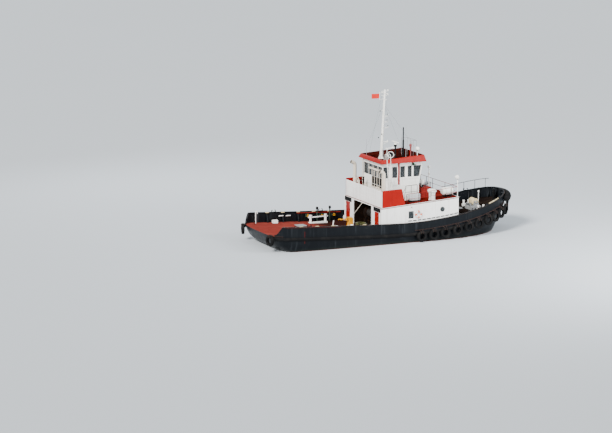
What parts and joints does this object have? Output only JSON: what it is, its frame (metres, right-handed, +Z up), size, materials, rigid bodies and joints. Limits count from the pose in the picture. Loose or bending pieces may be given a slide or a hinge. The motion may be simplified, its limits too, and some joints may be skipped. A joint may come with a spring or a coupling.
{
  "type": "harbour tugboat",
  "caption": "Afloat harbour tug: full hull with bulwarks and hung tyres, deckhouse, leaning-front wheelhouse, mast, towing winch, hook, propellers and rudders.",
  "frame": {"origin": "on the centreline at the water's surface, amidships", "axes": "+X forward along the keel, +Y to port, +Z up"},
  "size_m": [27.1583, 9.3866, 17.3746],
  "materials": {
    "hull_black": "semi-matt black topside paint with salt streaks",
    "antifouling": "matt red-brown antifouling",
    "deck_red": "worn matt red deck paint",
    "red_paint": "semi-gloss signal red",
    "white_paint": "semi-gloss white, weathered",
    "grey_paint": "satin grey paint",
    "buff_paint": "satin buff paint",
    "dark_paint": "dark greasy machinery paint",
    "yellow_paint": "semi-gloss yellow, chipped",
    "rubber_black": "weathered matt black rubber",
    "steel": "turned steel",
    "bronze": "ground bronze, dull",
    "glass": "dark tinted window glass",
    "dark_upholstery": "black vinyl",
    "flag_cloth": "plain red bunting",
    "olive_rope": "laid olive rope, soiled",
    "raft_white": "white glass-fibre shell",
    "moulded_grey": "weathered grey glass-fibre"
  },
  "bodies": {
    "boat": {"hull": "hull_black", "skeg": "antifouling", "shaft_port": "steel", "shaft_starboard": "steel", "bulwark_port": "hull_black", "bulwark_starboard": "hull_black", "bulwark_fore": "hull_black", "rubbing_strake_port": "rubber_black", "rubbing_strake_starboard": "rubber_black", "bow_fender": "rubber_black", "tyres_port": "rubber_black", "tyres_starboard": "rubber_black", "quarter_tyre_port": "rubber_black", "quarter_tyre_starboard": "rubber_black", "house_side_port": "white_paint", "house_side_starboard": "white_paint", "house_front": "white_paint", "bay_bulkhead": "white_paint", "boat_deck": "deck_red", "screen_aft": "white_paint", "screen_port": "red_paint", "screen_starboard": "red_paint", "wheelhouse_trunk": "white_paint", "wheelhouse_side_port": "white_paint", "wheelhouse_side_starboard": "white_paint", "wheelhouse_front": "white_paint", "wheelhouse_aft": "white_paint", "glass_forward": "glass", "glass_aft": "glass", "wheelhouse_roof": "red_paint", "helm_console": "grey_paint", "helm_chair": "dark_upholstery", "mast": "white_paint", "flag": "flag_cloth", "exhaust_port": "white_paint", "exhaust_starboard": "white_paint", "boat_deck_rail": "white_paint", "rope_coil": "olive_rope", "liferaft": "raft_white", "dinghy": "moulded_grey", "winch_frame": "dark_paint", "windlass_frame": "grey_paint", "bitts_port": "white_paint", "bitts_starboard": "white_paint", "tow_post": "yellow_paint"},
    "screw_port": {"propeller_port": "bronze"},
    "screw_starboard": {"propeller_starboard": "bronze"},
    "rudder_port": {"rudder_port": "antifouling"},
    "rudder_starboard": {"rudder_starboard": "antifouling"},
    "winch": {"winch_drum": "dark_paint"},
    "windlass": {"windlass_drum": "buff_paint"},
    "radar": {"radar_scanner": "white_paint"},
    "searchlight": {"searchlight": "grey_paint"},
    "hook": {"tow_hook": "yellow_paint"},
    "door_port": {"wheelhouse_door_port": "white_paint"},
    "door_starboard": {"wheelhouse_door_starboard": "white_paint"},
    "bay_door_port": {"bay_door_port": "red_paint"},
    "bay_door_starboard": {"bay_door_starboard": "red_paint"},
    "lid_aft": {"hatch_lid_aft": "grey_paint"},
    "lid_fore": {"hatch_lid_fore": "grey_paint"}
  },
  "joints": [
    {"name": "propeller_port_spin", "type": "hinge", "parent": "boat", "child": "screw_port", "pos_m": [-10.4, 1.7, -1.75], "axis": [1, 0, 0], "continuous": true},
    {"name": "propeller_starboard_spin", "type": "hinge", "parent": "boat", "child": "screw_starboard", "pos_m": [-10.4, -1.7, -1.75], "axis": [1, 0, 0], "continuous": true},
    {"name": "rudder_port_turn", "type": "hinge", "parent": "boat", "child": "rudder_port", "pos_m": [-11.65, 1.7, -1.75], "axis": [0, 0, 1], "range_deg": [-35, 35]},
    {"name": "rudder_starboard_turn", "type": "hinge", "parent": "boat", "child": "rudder_starboard", "pos_m": [-11.65, -1.7, -1.75], "axis": [0, 0, 1], "range_deg": [-35, 35]},
    {"name": "winch_drum_spin", "type": "hinge", "parent": "boat", "child": "winch", "pos_m": [-0.65, 0, 2.25], "axis": [0, 1, 0], "continuous": true},
    {"name": "windlass_drum_spin", "type": "hinge", "parent": "boat", "child": "windlass", "pos_m": [10.1, 0, 2.6883], "axis": [0, 1, 0], "continuous": true},
    {"name": "radar_spin", "type": "hinge", "parent": "boat", "child": "radar", "pos_m": [1.45, 0, 9], "axis": [0, 0, 1], "continuous": true},
    {"name": "searchlight_turn", "type": "hinge", "parent": "boat", "child": "searchlight", "pos_m": [0.25, -1.5, 8], "axis": [0, 0, 1], "range_deg": [-170, 170]},
    {"name": "tow_hook_swing", "type": "hinge", "parent": "boat", "child": "hook", "pos_m": [-3.73, 0, 1.95], "axis": [0, 0, 1], "range_deg": [-75, 75]},
    {"name": "wheelhouse_door_port_swing", "type": "hinge", "parent": "boat", "child": "door_port", "pos_m": [-0.035, 2.1953, 6.2], "axis": [0, 0, 1], "range_deg": [0, 100]},
    {"name": "wheelhouse_door_starboard_swing", "type": "hinge", "parent": "boat", "child": "door_starboard", "pos_m": [-0.035, -2.1953, 6.2], "axis": [0, 0, -1], "range_deg": [0, 100]},
    {"name": "bay_door_port_swing", "type": "hinge", "parent": "boat", "child": "bay_door_port", "pos_m": [-2.095, 3.69, 2.1], "axis": [0, 0, -1], "range_deg": [0, 100]},
    {"name": "bay_door_starboard_swing", "type": "hinge", "parent": "boat", "child": "bay_door_starboard", "pos_m": [-2.095, -3.69, 2.1], "axis": [0, 0, 1], "range_deg": [0, 100]},
    {"name": "hatch_lid_aft_swing", "type": "hinge", "parent": "boat", "child": "lid_aft", "pos_m": [-9.08, 0, 1.6803], "axis": [0, -1, 0], "range_deg": [0, 100]},
    {"name": "hatch_lid_fore_swing", "type": "hinge", "parent": "boat", "child": "lid_fore", "pos_m": [7.87, 0, 2.1434], "axis": [0, -1, 0], "range_deg": [0, 100]}
  ],
  "couplings": [
    {"joint": "rudder_starboard_turn", "follows": "rudder_port_turn", "ratio": 1}
  ]
}
